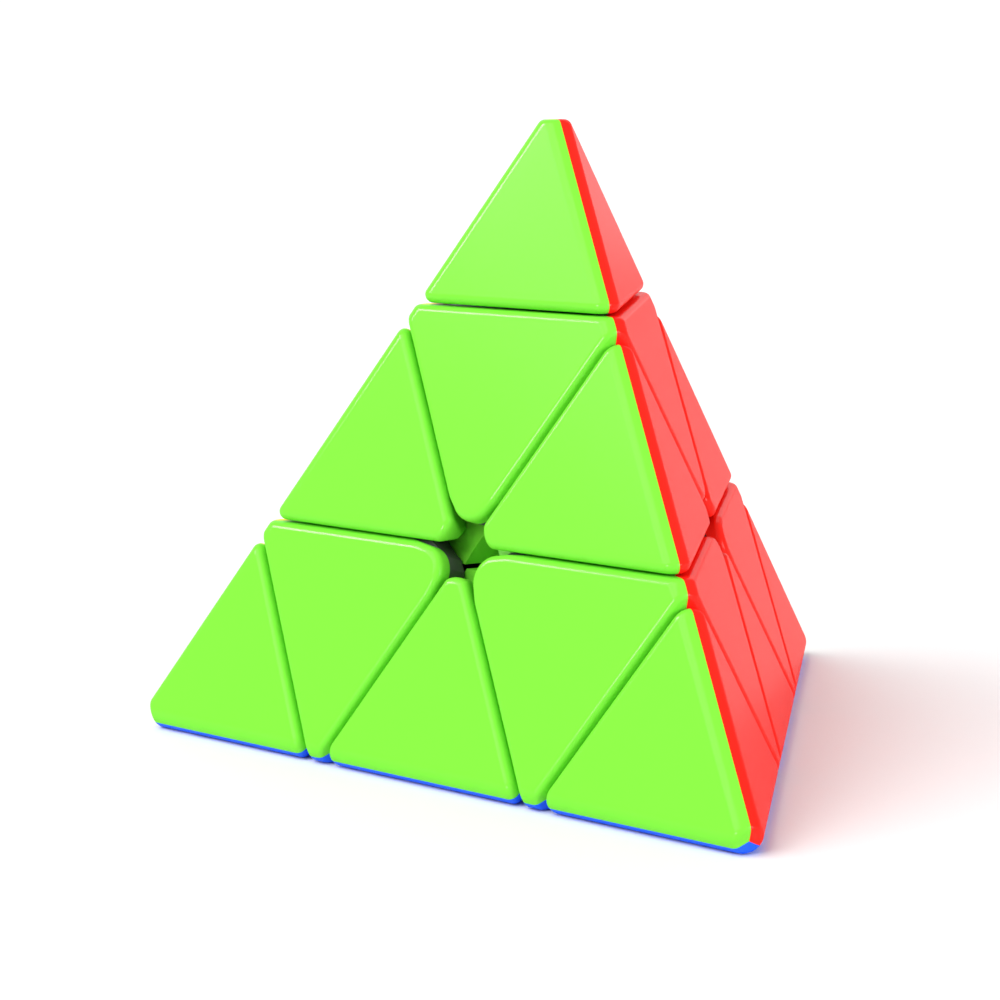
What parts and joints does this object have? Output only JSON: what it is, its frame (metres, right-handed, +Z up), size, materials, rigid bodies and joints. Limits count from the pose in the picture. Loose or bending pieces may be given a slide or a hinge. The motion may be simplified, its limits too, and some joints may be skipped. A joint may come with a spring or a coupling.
{
  "type": "pyramid twisty puzzle",
  "caption": "Four-sided pyramid twisty puzzle with turning layers and tips, built of coloured caps and halves on grey inner bodies round a ball core with sprung axles.",
  "frame": {"origin": "centre of the core ball, where the four turning axes meet", "axes": "+Z up through the top corner; the puzzle stands on its blue face; the green face leans towards -Y, the red face towards +X +Y and the yellow face towards -X +Y"},
  "size_m": [0.0994, 0.0866, 0.0811],
  "materials": {
    "green_plastic": "glossy moulded ABS, bright green",
    "red_plastic": "glossy moulded ABS, bright red",
    "yellow_plastic": "glossy moulded ABS, bright yellow",
    "blue_plastic": "glossy moulded ABS, bright blue",
    "grey_plastic": "satin dark grey ABS of the pieces and the core",
    "steel": "zinc-plated steel screws, washers and springs"
  },
  "bodies": {
    "core": {"core_ball": "grey_plastic", "axle_screws": "steel", "axle_washers": "steel", "axle_springs": "steel"},
    "top_axial": {"top_axial_base": "grey_plastic", "top_axial_green_cap": "green_plastic", "top_axial_red_cap": "red_plastic", "top_axial_yellow_cap": "yellow_plastic"},
    "left_axial": {"left_axial_base": "grey_plastic", "left_axial_green_cap": "green_plastic", "left_axial_yellow_cap": "yellow_plastic", "left_axial_blue_cap": "blue_plastic"},
    "right_axial": {"right_axial_base": "grey_plastic", "right_axial_green_cap": "green_plastic", "right_axial_red_cap": "red_plastic", "right_axial_blue_cap": "blue_plastic"},
    "back_axial": {"back_axial_base": "grey_plastic", "back_axial_red_cap": "red_plastic", "back_axial_yellow_cap": "yellow_plastic", "back_axial_blue_cap": "blue_plastic"},
    "top_tip": {"top_tip_base": "grey_plastic", "top_tip_green_cap": "green_plastic", "top_tip_red_cap": "red_plastic", "top_tip_yellow_cap": "yellow_plastic"},
    "left_tip": {"left_tip_base": "grey_plastic", "left_tip_green_cap": "green_plastic", "left_tip_yellow_cap": "yellow_plastic", "left_tip_blue_cap": "blue_plastic"},
    "right_tip": {"right_tip_base": "grey_plastic", "right_tip_green_cap": "green_plastic", "right_tip_red_cap": "red_plastic", "right_tip_blue_cap": "blue_plastic"},
    "back_tip": {"back_tip_base": "grey_plastic", "back_tip_red_cap": "red_plastic", "back_tip_yellow_cap": "yellow_plastic", "back_tip_blue_cap": "blue_plastic"},
    "top_left_edge": {"top_left_edge_insert": "grey_plastic", "top_left_edge_green_half": "green_plastic", "top_left_edge_yellow_half": "yellow_plastic"},
    "top_right_edge": {"top_right_edge_insert": "grey_plastic", "top_right_edge_green_half": "green_plastic", "top_right_edge_red_half": "red_plastic"},
    "top_back_edge": {"top_back_edge_insert": "grey_plastic", "top_back_edge_red_half": "red_plastic", "top_back_edge_yellow_half": "yellow_plastic"},
    "left_right_edge": {"left_right_edge_insert": "grey_plastic", "left_right_edge_green_half": "green_plastic", "left_right_edge_blue_half": "blue_plastic"},
    "left_back_edge": {"left_back_edge_insert": "grey_plastic", "left_back_edge_yellow_half": "yellow_plastic", "left_back_edge_blue_half": "blue_plastic"},
    "right_back_edge": {"right_back_edge_insert": "grey_plastic", "right_back_edge_red_half": "red_plastic", "right_back_edge_blue_half": "blue_plastic"}
  },
  "joints": [
    {"name": "top_layer_turn", "type": "hinge", "parent": "core", "child": "top_axial", "pos_m": [0, 0, 0], "axis": [0, 0, 1], "range_deg": [0, 240]},
    {"name": "left_layer_turn", "type": "hinge", "parent": "core", "child": "left_axial", "pos_m": [0, 0, 0], "axis": [-0.8165, -0.4714, -0.3333], "range_deg": [0, 240]},
    {"name": "right_layer_turn", "type": "hinge", "parent": "core", "child": "right_axial", "pos_m": [0, 0, 0], "axis": [0.8165, -0.4714, -0.3333], "range_deg": [0, 240]},
    {"name": "back_layer_turn", "type": "hinge", "parent": "core", "child": "back_axial", "pos_m": [0, 0, 0], "axis": [0, 0.9428, -0.3333], "range_deg": [0, 240]},
    {"name": "top_tip_turn", "type": "hinge", "parent": "top_axial", "child": "top_tip", "pos_m": [0, 0, 0], "axis": [0, 0, 1], "continuous": true},
    {"name": "left_tip_turn", "type": "hinge", "parent": "left_axial", "child": "left_tip", "pos_m": [0, 0, 0], "axis": [-0.8165, -0.4714, -0.3333], "continuous": true},
    {"name": "right_tip_turn", "type": "hinge", "parent": "right_axial", "child": "right_tip", "pos_m": [0, 0, 0], "axis": [0.8165, -0.4714, -0.3333], "continuous": true},
    {"name": "back_tip_turn", "type": "hinge", "parent": "back_axial", "child": "back_tip", "pos_m": [0, 0, 0], "axis": [0, 0.9428, -0.3333], "continuous": true},
    {"name": "top_left_edge_with_left_layer", "type": "hinge", "parent": "top_axial", "child": "top_left_edge", "pos_m": [0, 0, 0], "axis": [-0.8165, -0.4714, -0.3333], "range_deg": [0, 240]},
    {"name": "top_right_edge_with_right_layer", "type": "hinge", "parent": "top_axial", "child": "top_right_edge", "pos_m": [0, 0, 0], "axis": [0.8165, -0.4714, -0.3333], "range_deg": [0, 240]},
    {"name": "top_back_edge_with_back_layer", "type": "hinge", "parent": "top_axial", "child": "top_back_edge", "pos_m": [0, 0, 0], "axis": [0, 0.9428, -0.3333], "range_deg": [0, 240]},
    {"name": "left_right_edge_with_left_layer", "type": "hinge", "parent": "right_axial", "child": "left_right_edge", "pos_m": [0, 0, 0], "axis": [-0.8165, -0.4714, -0.3333], "range_deg": [0, 240]},
    {"name": "left_back_edge_with_back_layer", "type": "hinge", "parent": "left_axial", "child": "left_back_edge", "pos_m": [0, 0, 0], "axis": [0, 0.9428, -0.3333], "range_deg": [0, 240]},
    {"name": "right_back_edge_with_right_layer", "type": "hinge", "parent": "back_axial", "child": "right_back_edge", "pos_m": [0, 0, 0], "axis": [0.8165, -0.4714, -0.3333], "range_deg": [0, 240]}
  ],
  "couplings": [
    {"joint": "top_left_edge_with_left_layer", "follows": "left_layer_turn", "ratio": 1},
    {"joint": "top_right_edge_with_right_layer", "follows": "right_layer_turn", "ratio": 1},
    {"joint": "top_back_edge_with_back_layer", "follows": "back_layer_turn", "ratio": 1},
    {"joint": "left_right_edge_with_left_layer", "follows": "left_layer_turn", "ratio": 1},
    {"joint": "left_back_edge_with_back_layer", "follows": "back_layer_turn", "ratio": 1},
    {"joint": "right_back_edge_with_right_layer", "follows": "right_layer_turn", "ratio": 1}
  ]
}
